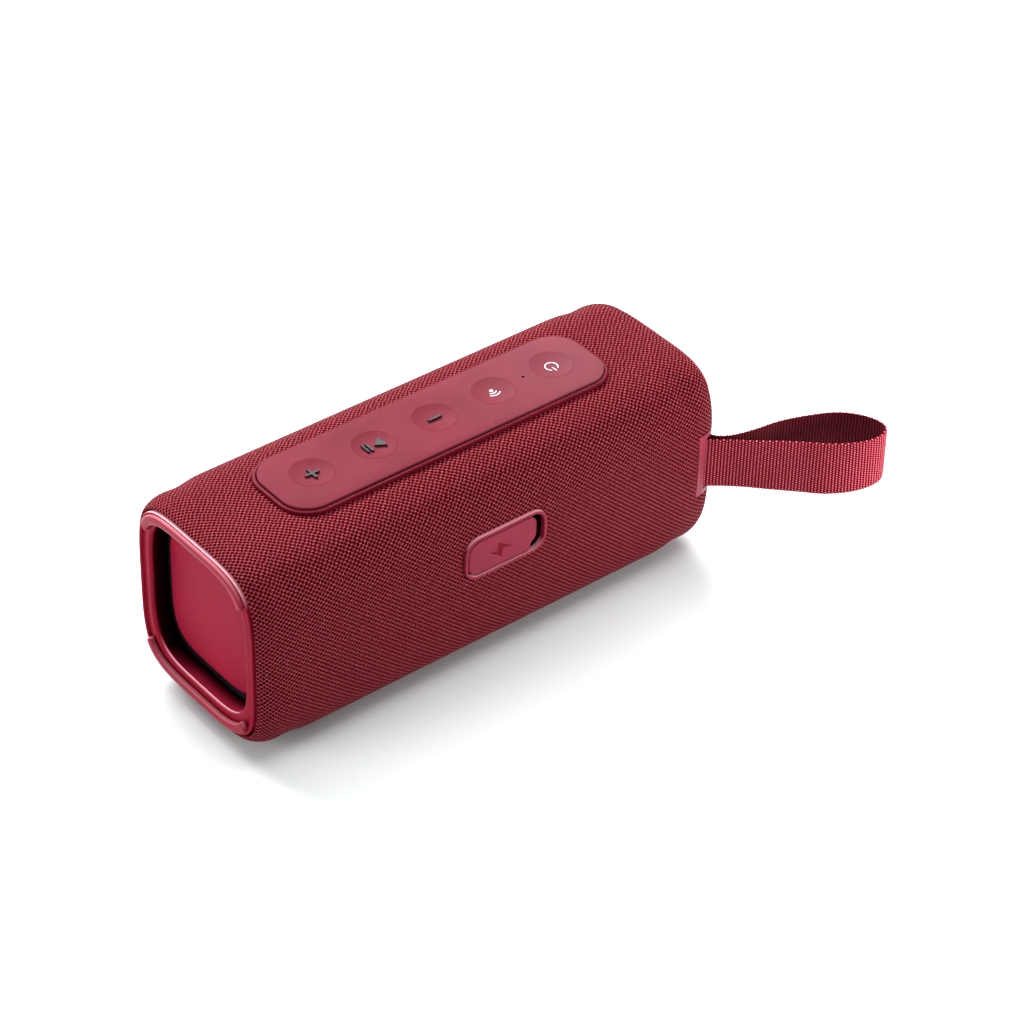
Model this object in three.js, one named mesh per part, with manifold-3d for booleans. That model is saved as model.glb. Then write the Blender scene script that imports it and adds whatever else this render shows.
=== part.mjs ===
// Portable wireless speaker: a rounded box body in a woven sleeve, with passive radiators in both ends, a key
// panel on top, a charging port behind a rubber flap at the back and a webbing carry loop at one end.
// Millimetres. +X runs along the body to the carry loop, +Y is the listening side, +Z is up.
// The origin is the middle of the foot pad's underside.
import * as THREE from "three";
import { ParametricGeometry } from "three/addons/geometries/ParametricGeometry.js";
import { mergeVertices } from "three/addons/utils/BufferGeometryUtils.js";
import Module from "manifold-3d";

const wasm = await Module();
wasm.setup();

// Driving dimensions of the body.
const BODY_LENGTH = 190;
const BODY_WIDTH = 71.2;
const BODY_HEIGHT = 75;
const SECTION_POWER = 4.3; // exponent of the superellipse that the body's cross-section follows
const SECTION_STEPS = 32;
const END_ROUND = 14; // length of each rounded end along X
const END_INSET = 4.15; // how far the section draws in over a rounded end
const END_RISE = 1.1; // how far its middle rises over the same length
const RISE_PER_INSET = 0.26; // how the end opening's middle goes on rising, per millimetre further in
const FOOT_HEIGHT = 1; // the body stands this far above the table
const FOOT_SIZE = [112, 20, 5]; // length, width, corner radius
const GAP = 0.3; // clearance between neighbouring pieces
const FABRIC_THICK = 1.2;
const SHELL_INSET = FABRIC_THICK + GAP;
const SHELL_THICK = 2.4;
const SHELL_END = 87.6; // half length of the inner shells

// Derived places on the body.
const FACE_X = BODY_LENGTH / 2;
const SIDE_Y = BODY_WIDTH / 2;
const MID_Z = FOOT_HEIGHT + BODY_HEIGHT / 2;
const TOP_Z = FOOT_HEIGHT + BODY_HEIGHT;

// Key panel on the top face.
const PANEL = { x: 0.6, y: 0.5, length: 133, width: 33.4, corner: 11.4 };
const PANEL_RIM = 1.3;
const RIM_RISE = 0.9;
const MAT_RISE = 1.6;
const MAT_BASE = -1.3;
const TRAY_FLOOR = [-2.8, -1.6];
const KEY_PITCH = 24.7;
const KEY_FIRST_X = -48.1;
const KEY_Y = 1.2;
const KEY_RADIUS = 7.3;
const KEY_SCOOP = 1;
const KEY_NAMES = ["volume_up", "play_pause", "volume_down", "wireless", "power"];
const STEM_RADIUS = 1.4;
const LIGHT_AT = [38.7, 1.5];

// Charging port on the back face (-Y).
const PORT = { x: 2.2, z: MID_Z + 9, length: 34.1, height: 16.7, corner: 6 };
const BEZEL_RIM = 1.4;
const BEZEL_PROUD = 0.7;
const FLAP_LENGTH = 30;
const FLAP_THICK = 1.6;
const WELL = { length: 30.4, height: 12.8, corner: 3, wall: 1.2, front: -33.7, back: -24 };
const SOCKET = { width: 9, height: 3.2, front: -28.5, back: -21.1, wall: 0.35 };

// Carry loop at the +X end, on the rear corner.
const PIN_AT = [91.6, -32];
const PIN_RADIUS = 1;
const LOOP_Z = 39.3;
const WEBBING_WIDTH = 20;
const WEBBING_THICK = 1.2;
const HOUSING_HEIGHT = 25;

// Round drivers behind the +Y face.
const DRIVER_X = 42;
const DRIVER_FRONT_Y = 29.3;
const DRIVER_HOLE = 21.2;

// Housing screws that pull the two shells together.
const BOSS_X = 74;
const BOSS_Z = 22;
const BOSS_RADIUS = 3.6;

const material = (color, roughness, metalness = 0) =>
  new THREE.MeshStandardMaterial({ color, roughness, metalness });
const FABRIC = material(0x8f1226, 0.9);
const PLASTIC = material(0xa83248, 0.45);
const SILICONE = material(0xb05063, 0.6);
const RADIATOR_RED = material(0xa22c40, 0.5);
const BLACK_RUBBER = material(0x111012, 0.7);
const BLACK_PLASTIC = material(0x1b1b1d, 0.55);
const PAPER = material(0x26272a, 0.8);
const STEEL = material(0xb9bcc0, 0.3, 1);
const BOARD_GREEN = material(0x14512e, 0.5);
const CELL_WRAP = material(0x2f6fb0, 0.4);
const LAMP = material(0xf2f2ee, 0.3);

// Nearest clean solid to a geometry: its points merged, collapsed faces dropped and faces turned outwards.
function weld(geometry) {
  const bare = geometry.index ? geometry.toNonIndexed() : geometry.clone();
  bare.deleteAttribute("normal");
  bare.deleteAttribute("uv");
  const merged = mergeVertices(bare, 1e-4);
  const place = merged.attributes.position;
  const corner = [new THREE.Vector3(), new THREE.Vector3(), new THREE.Vector3()];
  const faces = [];
  let volume = 0; // six times the enclosed volume, negative while the faces point inwards
  for (let i = 0; i < merged.index.count; i += 3) {
    const face = [0, 1, 2].map((k) => merged.index.getX(i + k));
    if (new Set(face).size < 3) continue;
    face.forEach((vertex, k) => corner[k].fromBufferAttribute(place, vertex));
    volume += corner[0].dot(corner[1].cross(corner[2]));
    faces.push(face);
  }
  merged.setIndex(faces.flatMap((f) => (volume < 0 ? [f[0], f[2], f[1]] : f)));
  return merged;
}

function toSolid(geometry) {
  const clean = weld(geometry);
  return new wasm.Manifold(
    new wasm.Mesh({
      numProp: 3,
      vertProperties: clean.attributes.position.array,
      triVerts: new Uint32Array(clean.index.array),
    }),
  );
}

function toGeometry(solid) {
  const mesh = solid.getMesh();
  const geometry = new THREE.BufferGeometry();
  geometry.setAttribute("position", new THREE.BufferAttribute(mesh.vertProperties, 3));
  geometry.setIndex(new THREE.BufferAttribute(mesh.triVerts, 1));
  return geometry;
}

const cut = (geometry, ...tools) =>
  toGeometry(tools.reduce((solid, tool) => solid.subtract(toSolid(tool)), toSolid(geometry)));
const join = (geometry, ...others) =>
  toGeometry(others.reduce((solid, other) => solid.add(toSolid(other)), toSolid(geometry)));
const common = (geometry, other) => toGeometry(toSolid(geometry).intersect(toSolid(other)));

const box = (low, high) =>
  new THREE.BoxGeometry(high[0] - low[0], high[1] - low[1], high[2] - low[2]).translate(
    (low[0] + high[0]) / 2,
    (low[1] + high[1]) / 2,
    (low[2] + high[2]) / 2,
  );

function roundedRectangle(length, width, corner) {
  const shape = new THREE.Shape();
  const [x, y] = [length / 2 - corner, width / 2 - corner];
  shape.absarc(x, y, corner, 0, Math.PI / 2);
  shape.absarc(-x, y, corner, Math.PI / 2, Math.PI);
  shape.absarc(-x, -y, corner, Math.PI, 1.5 * Math.PI);
  shape.absarc(x, -y, corner, 1.5 * Math.PI, 2 * Math.PI);
  return shape;
}

// A rounded rectangle lying flat, filled between two heights.
const flatSlab = (length, width, corner, low, high) =>
  new THREE.ExtrudeGeometry(roundedRectangle(length, width, corner), {
    depth: high - low,
    bevelEnabled: false,
    curveSegments: 4,
  }).translate(0, 0, low);

// The same outline standing in the XZ plane, filled between two places along Y.
const uprightSlab = (length, height, corner, low, high) =>
  flatSlab(length, height, corner, -high, -low).rotateX(Math.PI / 2);

const uprightCylinder = (radius, low, high, steps = 16) =>
  new THREE.CylinderGeometry(radius, radius, high - low, steps).translate(0, (low + high) / 2, 0);
const flatCylinder = (radius, low, high, steps = 16) =>
  uprightCylinder(radius, low, high, steps).rotateX(Math.PI / 2);

// A profile of [radius, depth] turned about the Y axis, with depth running towards -Y from the given front.
function turned(profile, front, steps = 18) {
  const points = profile.map(([radius, depth]) => new THREE.Vector2(radius, -depth));
  return new THREE.LatheGeometry(points, steps).translate(0, front, 0);
}

// One point of the body's section, drawn in by inset and with its middle raised by rise.
function sectionPoint(angle, inset, rise) {
  const bend = (c) => Math.sign(c) * Math.abs(c) ** (2 / SECTION_POWER);
  return [
    (SIDE_Y - inset) * bend(Math.cos(angle)),
    MID_Z + rise + (BODY_HEIGHT / 2 - inset) * bend(Math.sin(angle)),
  ];
}

// A closed profile of [x, inset, rise] carried right round the section.
function sleeve(profile) {
  const loop = [...profile, profile[0]];
  const place = (u, v, target) => {
    const [x, inset, rise] = loop[Math.round(v * profile.length)];
    target.set(x, ...sectionPoint(u * 2 * Math.PI, inset, rise));
  };
  return new ParametricGeometry(place, SECTION_STEPS, profile.length);
}

// Inset and rise of the body's skin at a place along X, and the stations that a rounded end is drawn with.
function endShape(x) {
  const along = Math.max(0, 1 - (FACE_X - Math.abs(x)) / END_ROUND);
  const drawn = 1 - Math.sqrt(1 - along * along);
  return [END_INSET * drawn, END_RISE * drawn];
}
const endStation = (degrees) => FACE_X - END_ROUND * (1 - Math.sin(THREE.MathUtils.degToRad(degrees)));

// A tube that follows the skin between the stations, lying from outer to inner below it.
function skinTube(stations, outer, inner) {
  const at = (x, below) => {
    const [inset, rise] = endShape(x);
    return [x, inset + below, rise];
  };
  const forward = stations.map((x) => at(x, outer));
  const backward = stations.map((x) => at(x, inner)).reverse();
  return sleeve([...forward, ...backward]);
}

// A profile of [depth, inset] for a piece in an end, where side is -1 or +1 and depth runs inwards from its face.
function endPiece(side, profile, baseRise = END_RISE, risePerInset = RISE_PER_INSET) {
  const firstInset = profile[0][1];
  return sleeve(
    profile.map(([depth, inset]) => [
      side * (FACE_X - depth),
      inset,
      baseRise + risePerInset * (inset - firstInset),
    ]),
  );
}

// Carry loop: the webbing runs round the pin and out to the hand in one band, seen here from above.
const LOOP_ROUTE = [
  [-1.24, -1.24],
  [6, -7.2],
  [12.4, -13],
  [23.7, -23.4],
  [31, -30.4],
  [40.3, -35.4],
  [48.9, -36.3],
  [53.4, -33.3],
  [53.6, -28.4],
  [50.9, -22.4],
  [45.2, -16.4],
  [34.4, -11.6],
  [26.4, -9.2],
  [17, -6.6],
  [8, -2.4],
  [0.85, 1.53],
  [-0.45, 1.69],
  [-1.45, 0.98],
  [-1.75, -0.1],
];

function webbingBand() {
  const route = LOOP_ROUTE.map(([x, y]) => new THREE.Vector3(PIN_AT[0] + x, PIN_AT[1] + y, 0));
  const line = new THREE.CatmullRomCurve3(route, true, "centripetal");
  const count = LOOP_ROUTE.length * 3;
  const edge = (offset) =>
    Array.from({ length: count }, (_, i) => {
      const tangent = line.getTangent(i / count);
      const point = line.getPoint(i / count);
      return new THREE.Vector2(point.x + tangent.y * offset, point.y - tangent.x * offset);
    });
  const shape = new THREE.Shape(edge(WEBBING_THICK / 2));
  shape.holes.push(new THREE.Path(edge(-WEBBING_THICK / 2)));
  return new THREE.ExtrudeGeometry(shape, { depth: WEBBING_WIDTH, bevelEnabled: false }).translate(
    0,
    0,
    LOOP_Z - WEBBING_WIDTH / 2,
  );
}

const prism = (points, low, high) =>
  new THREE.ExtrudeGeometry(new THREE.Shape(points.map(([x, y]) => new THREE.Vector2(x, y))), {
    depth: high - low,
    bevelEnabled: false,
  }).translate(0, 0, low);

// The block that holds the pin fills the corner behind the +X ring, its outside flush with the skin.
const HOUSING_LOW = LOOP_Z - HOUSING_HEIGHT / 2;
const HOUSING_HIGH = LOOP_Z + HOUSING_HEIGHT / 2;
const housingPlan = (grow) => [
  [86.7 - grow, -38],
  [98, -38],
  [98, -28.3 + grow],
  [88.2 - grow, -28.3 + grow],
  [88.2 - grow, -31.4 + grow],
  [86.7 - grow, -32.6 + grow],
];
const housingCut = () => prism(housingPlan(GAP), HOUSING_LOW - GAP, HOUSING_HIGH + GAP);

function strapHousing() {
  const stations = [0, 20, 40, 55, 70, 80, 90].map(endStation);
  const corner = common(prism(housingPlan(0), HOUSING_LOW, HOUSING_HIGH), skinTube(stations, -0.2, 14));
  const [low, high] = [LOOP_Z - WEBBING_WIDTH / 2 - 0.7, LOOP_Z + WEBBING_WIDTH / 2 + 0.7];
  const halfMouth = 1.9;
  const reach = 9;
  const side = (degrees, turn) => {
    const angle = THREE.MathUtils.degToRad(degrees);
    const start = [
      PIN_AT[0] - turn * halfMouth * Math.sin(angle),
      PIN_AT[1] + turn * halfMouth * Math.cos(angle),
    ];
    return [start, [start[0] + reach * Math.cos(angle), start[1] + reach * Math.sin(angle)]];
  };
  const [rearStart, rearEnd] = side(-76, -1);
  const [faceStart, faceEnd] = side(26, 1);
  const mouth = prism([rearStart, rearEnd, [104, -42], faceEnd, faceStart], low, high);
  const round = flatCylinder(2.75, low, high).translate(...PIN_AT, 0);
  const pinHole = flatCylinder(PIN_RADIUS + GAP, low - 1, high + 1, 16).translate(...PIN_AT, 0);
  return cut(corner, mouth, round, pinHole);
}

// Raised rubber rib on the face of an end ring, from one angle of the section to another, with rounded ends.
function bumperRib(side, from, to, inset, width, rise) {
  const steps = 20;
  const around = 6;
  const place = (u, v, target) => {
    const angle = THREE.MathUtils.degToRad(from + (to - from) * u);
    const swell = Math.min(1, Math.sqrt(Math.sin(Math.PI * u) * 7));
    const turn = v * 2 * Math.PI;
    const across = inset + (swell * width * Math.cos(turn)) / 2;
    const out = 0.75 + swell * 0.75 * Math.sin(turn);
    target.set(side * (FACE_X + out + GAP), ...sectionPoint(angle, across, rise));
  };
  return new ParametricGeometry(place, steps, around);
}

const speaker = new THREE.Group();
function add(name, geometry, finish, parent = speaker) {
  const mesh = new THREE.Mesh(weld(geometry), finish);
  mesh.name = name;
  parent.add(mesh);
  return mesh;
}
function groupAt(x, y, z) {
  const group = new THREE.Group();
  group.position.set(x, y, z);
  speaker.add(group);
  return group;
}

// Cut-outs shared by the sleeve and the shells.
const panelCut = () =>
  flatSlab(PANEL.length + 2 * GAP, PANEL.width + 2 * GAP, PANEL.corner + GAP, TOP_Z - 6, TOP_Z + 4).translate(
    PANEL.x,
    PANEL.y,
    0,
  );
const portCut = (length, height, corner) =>
  uprightSlab(length + 2 * GAP, height + 2 * GAP, corner + GAP, -40, -28).translate(PORT.x, 0, PORT.z);

function buildSleeve() {
  const stations = [65, 42, 20, 0].map(endStation);
  const tube = skinTube([...stations.map((x) => -x), ...stations.reverse()], 0, FABRIC_THICK);
  const port = portCut(PORT.length, PORT.height, PORT.corner);
  add("fabric_sleeve", cut(tube, panelCut(), port, housingCut()), FABRIC);
}

function buildShells() {
  const stations = [-SHELL_END, -endStation(0), endStation(0), SHELL_END];
  const tube = cut(skinTube(stations, SHELL_INSET, SHELL_INSET + SHELL_THICK), panelCut());
  const halfGap = GAP / 2;
  const half = (side) =>
    common(tube, box([-100, side > 0 ? halfGap : -60, -10], [100, side > 0 ? 60 : -halfGap, 100]));
  const corners = [-1, 1].flatMap((x) => [-1, 1].map((z) => [x * BOSS_X, MID_Z + z * BOSS_Z]));
  const boss = (low, high, radius) =>
    corners.map(([x, z]) => uprightCylinder(radius, low, high, 14).translate(x, 0, z));
  const driverHoles = [-1, 1].map((side) =>
    uprightCylinder(DRIVER_HOLE, 20, 40, 24).translate(side * DRIVER_X, 0, MID_Z),
  );
  const front = join(half(1), ...boss(halfGap, 31.4, BOSS_RADIUS));
  add("shell_front", cut(front, ...driverHoles, ...boss(-1, 10, 1.5)), BLACK_PLASTIC);
  const rear = join(half(-1), ...boss(-31.4, -halfGap, BOSS_RADIUS));
  const well = portCut(WELL.length, WELL.height, WELL.corner);
  const counterbores = [...boss(-40, -9, 2.9), ...boss(-12, 1, 1.5)];
  add("shell_rear", cut(rear, well, housingCut(), ...counterbores), BLACK_PLASTIC);
  corners.forEach(([x, z], i) => {
    const profile = [[0, 0], [1.2, 0], [1.2, 16], [2.5, 16], [2.5, 18], [0, 18]];
    const screw = turned(profile, 6.7, 10).translate(x, 0, z);
    add(`shell_screw_${i + 1}`, screw, STEEL);
  });
}

function buildEnds() {
  const ringProfile = [
    [7, 4.35], [1.7, 4.35], [0.5, 4.9], [0, 5.9], [0, 8.2], [0.5, 9.2], [1.4, 9.6], [6.2, 9.7],
    [6.2, 7.9], [2.6, 7.9], [2.6, 6.3], [7, 6.3],
  ];
  for (const [side, name] of [[-1, "left"], [1, "right"]]) {
    const ring = endPiece(side, ringProfile);
    add(`end_ring_${name}`, side > 0 ? cut(ring, housingCut()) : ring, PLASTIC);
    add(`bumper_rib_${name}_top`, bumperRib(side, 30, 149, 7, 3, 1.8), SILICONE);
    add(`bumper_rib_${name}_bottom`, bumperRib(side, 217, 327, 6.2, 3, 1.6), SILICONE);
    const frame = [[7.4, 5.7], [7.4, 9.3], [9.4, 9.3], [9.4, 5.7]];
    add(`radiator_frame_${name}`, endPiece(side, frame, 0.6, 0.5), BLACK_PLASTIC);
    const surround = [[6.8, 9.6], [6.8, 11.4], [8, 11.4], [8, 9.6]];
    add(`radiator_surround_${name}`, endPiece(side, surround, 2.47), BLACK_RUBBER);
    add(`radiator_plate_${name}`, radiatorPlate(side), RADIATOR_RED);
  }
}

// Flat moving plate, closed at the middle of both faces.
function radiatorPlate(side) {
  const inset = 11.8;
  const depths = [6, 6, 6.4, 8, 8.4, 8.4];
  const scales = [0, 0.985, 1, 1, 0.985, 0];
  const middle = MID_Z + 3.04;
  const place = (u, v, target) => {
    const i = Math.round(v * (depths.length - 1));
    const [y, z] = sectionPoint(u * 2 * Math.PI, inset, 3.04);
    target.set(side * (FACE_X - depths[i]), y * scales[i], middle + (z - middle) * scales[i]);
  };
  return new ParametricGeometry(place, SECTION_STEPS, depths.length - 1);
}

function buildPanel() {
  const panel = groupAt(PANEL.x, PANEL.y, TOP_Z);
  const keys = KEY_NAMES.map((name, i) => ({
    name,
    x: KEY_FIRST_X + i * KEY_PITCH - PANEL.x,
    y: KEY_Y - PANEL.y,
  }));
  const light = [LIGHT_AT[0] - PANEL.x, LIGHT_AT[1] - PANEL.y];
  const inner = [PANEL.length - 2 * PANEL_RIM, PANEL.width - 2 * PANEL_RIM, PANEL.corner - PANEL_RIM];
  const holes = (radius, steps) =>
    keys.map((key) => flatCylinder(radius, -5, 5, steps).translate(key.x, key.y, 0));
  const lightHole = flatCylinder(0.9, -5, 5, 8).translate(...light, 0);
  const tray = cut(
    flatSlab(PANEL.length, PANEL.width, PANEL.corner, TRAY_FLOOR[0], RIM_RISE),
    flatSlab(...inner, TRAY_FLOOR[1], RIM_RISE + 1),
    ...holes(STEM_RADIUS + 0.5, 12),
    lightHole,
  );
  add("panel_trim", tray, PLASTIC, panel);
  const mat = flatSlab(inner[0] - 2 * GAP, inner[1] - 2 * GAP, inner[2] - GAP, MAT_BASE, MAT_RISE);
  add("keypad_mat", cut(mat, ...holes(KEY_RADIUS + GAP, 20), lightHole), SILICONE, panel);
  for (const key of keys) {
    const cap = new THREE.LatheGeometry(keyProfile(), 20).rotateX(Math.PI / 2);
    add(`button_${key.name}`, cap.translate(key.x, key.y, 0), SILICONE, panel);
    const body = box([key.x - 3, key.y - 3, -9], [key.x + 3, key.y + 3, -5.7]);
    const plunger = flatCylinder(1.6, -6.5, -4.7, 12).translate(key.x, key.y, 0);
    add(`tact_switch_${key.name}`, join(body, plunger), STEEL, panel);
  }
  add("key_board", box([-60, -11, -10.5], [60, 11, -9.3]), BOARD_GREEN, panel);
  add("status_light", flatCylinder(0.55, -4.2, MAT_RISE, 8).translate(...light, 0), LAMP, panel);
}

// Key cap with a shallow round scoop on top and a stem below, as [radius, height].
function keyProfile() {
  const steps = 3;
  const scoop = Array.from({ length: steps + 1 }, (_, i) => {
    const radius = ((KEY_RADIUS - 0.2) * i) / steps;
    return [radius, MAT_RISE - KEY_SCOOP * (1 - (i / steps) ** 2)];
  });
  const outline = [...scoop, [KEY_RADIUS, MAT_RISE - 0.1], [KEY_RADIUS, -0.7]];
  const stem = [[STEM_RADIUS, -0.7], [STEM_RADIUS, -4], [0, -4]];
  return [...outline, ...stem].map(([radius, height]) => new THREE.Vector2(radius, height));
}

function buildPort() {
  const port = groupAt(PORT.x, 0, PORT.z);
  const front = -(SIDE_Y + BEZEL_PROUD);
  const back = -(SIDE_Y - FABRIC_THICK);
  const opening = [PORT.length - 2 * BEZEL_RIM, PORT.height - 2 * BEZEL_RIM, PORT.corner - BEZEL_RIM];
  const bezel = uprightSlab(PORT.length, PORT.height, PORT.corner, front, back);
  add("port_bezel", cut(bezel, uprightSlab(...opening, front - 1, back + 1)), PLASTIC, port);
  const flap = uprightSlab(FLAP_LENGTH, opening[1] - 2 * GAP, opening[2] - GAP, back - FLAP_THICK, back);
  flap.translate(-opening[0] / 2 + GAP + FLAP_LENGTH / 2, 0, 0);
  add("port_flap", flap, SILICONE, port);
  const { wall } = WELL;
  const well = cut(
    uprightSlab(WELL.length, WELL.height, WELL.corner, WELL.front, WELL.back),
    uprightSlab(WELL.length - 2 * wall, WELL.height - 2 * wall, WELL.corner - wall, WELL.front - 1, WELL.back - wall),
    box([-PORT.x - 4.9, WELL.back - 3, -2], [-PORT.x + 4.9, WELL.back + 1, 2]),
  );
  add("port_well", well, BLACK_PLASTIC, port);
  const halfWidth = SOCKET.width / 2 - SOCKET.wall;
  const halfHeight = SOCKET.height / 2 - SOCKET.wall;
  const socket = cut(
    uprightSlab(SOCKET.width, SOCKET.height, 1.5, SOCKET.front, SOCKET.back),
    uprightSlab(2 * halfWidth, 2 * halfHeight, 1.1, SOCKET.front - 1, SOCKET.back - 1),
  );
  const tongue = box([-3.3, SOCKET.front + 0.8, -0.35], [3.3, SOCKET.back - 0.5, 0.35]);
  add("usb_socket", join(socket, tongue).translate(-PORT.x, 0, 0), STEEL, port);
  add("port_board", box([-12, WELL.back + GAP, -3], [12, -7, -1.9]), BOARD_GREEN, port);
}

function buildStrap() {
  add("strap_housing", strapHousing(), PLASTIC);
  const pin = flatCylinder(PIN_RADIUS, LOOP_Z - 11.4, LOOP_Z + 11.4, 16).translate(...PIN_AT, 0);
  add("strap_pin", pin, STEEL);
  add("strap_webbing", webbingBand(), FABRIC);
}

function buildDrivers() {
  const basket = [
    [20.6, 0], [23.5, 0], [23.5, 1.6], [21.4, 1.6], [15, 13], [15, 14.6], [9, 14.6], [9, 13.4], [13.6, 13.4],
    [19.6, 1.6], [20.6, 0],
  ];
  const magnet = [
    [0, 14.9], [6.4, 14.9], [6.4, 22], [8.4, 22], [8.4, 14.9], [15, 14.9], [15, 24.9], [0, 24.9],
  ];
  const surround = [
    [16.3, 0.9], [16.3, 0.1], [18.4, -2], [20.4, -0.9], [21.6, -0.9], [21.6, -0.3], [20.2, -0.3], [18.4, -1.3],
    [16.3, 0.9],
  ];
  const cone = [
    [0, 5.6], [4, 6.2], [7.2, 8.2], [15.9, 1.4], [15.9, 2.3], [7.7, 10.2], [7.7, 19], [7, 19], [7, 9.6], [4, 7.2],
    [0, 6.6],
  ];
  for (const [side, name] of [[-1, "left"], [1, "right"]]) {
    const driver = groupAt(side * DRIVER_X, 0, MID_Z);
    add(`driver_basket_${name}`, turned(basket, DRIVER_FRONT_Y), STEEL, driver);
    add(`driver_magnet_${name}`, turned(magnet, DRIVER_FRONT_Y), STEEL, driver);
    add(`driver_surround_${name}`, turned(surround, DRIVER_FRONT_Y), BLACK_RUBBER, driver);
    add(`driver_cone_${name}`, turned(cone, DRIVER_FRONT_Y), PAPER, driver);
  }
}

function buildElectronics() {
  const board = box([-52, -3.8, 31], [52, -2.2, 63]);
  const chips = [[-30, 40, 9], [4, 50, 6], [30, 44, 7]].map(([x, z, half]) =>
    box([x - half, -5.4, z - half * 0.8], [x + half, -3.5, z + half * 0.8]),
  );
  add("main_board", join(board, ...chips), BOARD_GREEN);
  const cell = { radius: 9.1, length: 65, y: -13.5, z: 19.2 };
  const bed = [-1, 1].map((side) =>
    new THREE.CylinderGeometry(cell.radius + GAP, cell.radius + GAP, cell.length + 2 * GAP, 24)
      .rotateZ(Math.PI / 2)
      .translate((side * (cell.length + 2)) / 2, cell.y, cell.z),
  );
  add("battery_tray", cut(box([-68, -24.2, 8.6], [68, -2.8, 15.5]), ...bed), BLACK_PLASTIC);
  [-1, 1].forEach((side, i) => {
    const battery = new THREE.CylinderGeometry(cell.radius, cell.radius, cell.length, 24).rotateZ(Math.PI / 2);
    battery.translate((side * (cell.length + 2)) / 2, cell.y, cell.z);
    add(`battery_cell_${i + 1}`, battery, CELL_WRAP);
  });
}

buildSleeve();
buildShells();
buildEnds();
buildPanel();
buildPort();
buildStrap();
buildDrivers();
buildElectronics();
add("foot_pad", flatSlab(...FOOT_SIZE, 0, FOOT_HEIGHT - GAP), BLACK_RUBBER);

export default speaker;
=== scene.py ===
import math

import bpy
import numpy as np
from mathutils import Matrix, Vector


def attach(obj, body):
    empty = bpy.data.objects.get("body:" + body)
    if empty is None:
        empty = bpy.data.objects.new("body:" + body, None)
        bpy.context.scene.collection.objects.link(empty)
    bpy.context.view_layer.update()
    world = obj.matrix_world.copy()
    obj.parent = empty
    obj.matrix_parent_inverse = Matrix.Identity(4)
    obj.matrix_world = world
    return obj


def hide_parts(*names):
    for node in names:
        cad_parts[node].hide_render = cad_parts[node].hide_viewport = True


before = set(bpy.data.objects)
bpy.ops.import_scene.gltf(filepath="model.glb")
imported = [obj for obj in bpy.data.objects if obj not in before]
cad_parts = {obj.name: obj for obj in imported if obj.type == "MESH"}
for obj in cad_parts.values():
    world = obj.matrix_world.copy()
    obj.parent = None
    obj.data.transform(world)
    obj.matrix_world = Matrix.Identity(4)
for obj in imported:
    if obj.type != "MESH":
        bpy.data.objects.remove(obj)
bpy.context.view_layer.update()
scene = bpy.context.scene
scene.view_settings.view_transform = "Standard"
MM = 0.001  # one millimetre, in Blender's metres

# ---------------------------------------------------------------------------
# Camera, floor and lights. A portable speaker stands on a white table, seen from above
# its left rear corner. A long lamp behind it, a broad one overhead, one at the left and a
# small low one by the carry loop light it, with the even light of a white room.
# ---------------------------------------------------------------------------
CAMERA_AZIMUTH = math.radians(-39.962)
CAMERA_ELEVATION = math.radians(37.856)
CAMERA_ROLL = math.radians(1.7)
CAMERA_PLACE = Vector((-536.0, -680.7, 713.9)) * MM

camera_back = Vector((
    math.sin(CAMERA_AZIMUTH) * math.cos(CAMERA_ELEVATION),
    -math.cos(CAMERA_AZIMUTH) * math.cos(CAMERA_ELEVATION),
    math.sin(CAMERA_ELEVATION),
))
level_right = Vector((0, 0, 1)).cross(camera_back).normalized()
level_up = camera_back.cross(level_right)
camera_right = math.cos(CAMERA_ROLL) * level_right + math.sin(CAMERA_ROLL) * level_up
camera_up = math.cos(CAMERA_ROLL) * level_up - math.sin(CAMERA_ROLL) * level_right
camera_data = bpy.data.cameras.new("camera")
camera_data.sensor_width = 36
camera_data.lens = 115.95
camera_data.clip_start = 0.01
camera = bpy.data.objects.new("camera", camera_data)
camera_turn = Matrix((camera_right, camera_up, camera_back)).transposed().to_4x4()
camera.matrix_world = Matrix.Translation(CAMERA_PLACE) @ camera_turn
scene.collection.objects.link(camera)
scene.camera = camera


def shader_in(material):
    """The material's Principled shader."""
    return material.node_tree.nodes["Principled BSDF"]


def shader_of(name, base, roughness, **sockets):
    """A new material with one Principled shader, whose own sockets hold these values. Underscores in a socket's name
    stand for spaces."""
    material = bpy.data.materials.new(name)
    material.use_nodes = True
    shader = shader_in(material)
    shader.inputs["Base Color"].default_value = (*base, 1)
    shader.inputs["Roughness"].default_value = roughness
    for socket, value in sockets.items():
        shader.inputs[socket.replace("_", " ")].default_value = value
    return material, shader


def add_node(shader, kind, settings=None, **inputs):
    """A new node in the shader's tree. Each input, by its name or _number, takes a value or another node's
    socket."""
    tree = shader.id_data
    node = tree.nodes.new("ShaderNode" + kind)
    for setting, value in (settings or {}).items():
        setattr(node, setting, value)
    for name, value in inputs.items():
        socket = node.inputs[int(name[1:]) if name[0] == "_" else name.replace("_", " ")]
        if isinstance(value, bpy.types.NodeSocket):
            tree.links.new(value, socket)
        else:
            socket.default_value = value
    return node


def math_of(shader, operation, a, b=0.0, c=0.0):
    """The result of one Math node."""
    return add_node(shader, "Math", {"operation": operation}, _0=a, _1=b, _2=c).outputs[0]


def wave_of(shader, value, period):
    """A cosine wave of the value, -1 to 1, with this period."""
    return math_of(shader, "COSINE", math_of(shader, "MULTIPLY", value, 2 * math.pi / period))


def ramp_of(shader, value, *stops):
    """The colour that a value has between stops of (place, red, green, blue)."""
    node = add_node(shader, "ValToRGB", Fac=value)
    ramp = node.color_ramp
    while len(ramp.elements) < len(stops):
        ramp.elements.new(1.0)
    for element, (place, *colour) in zip(ramp.elements, stops):
        element.position = place
        element.color = (*colour, 1)
    return node.outputs["Color"]


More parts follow.
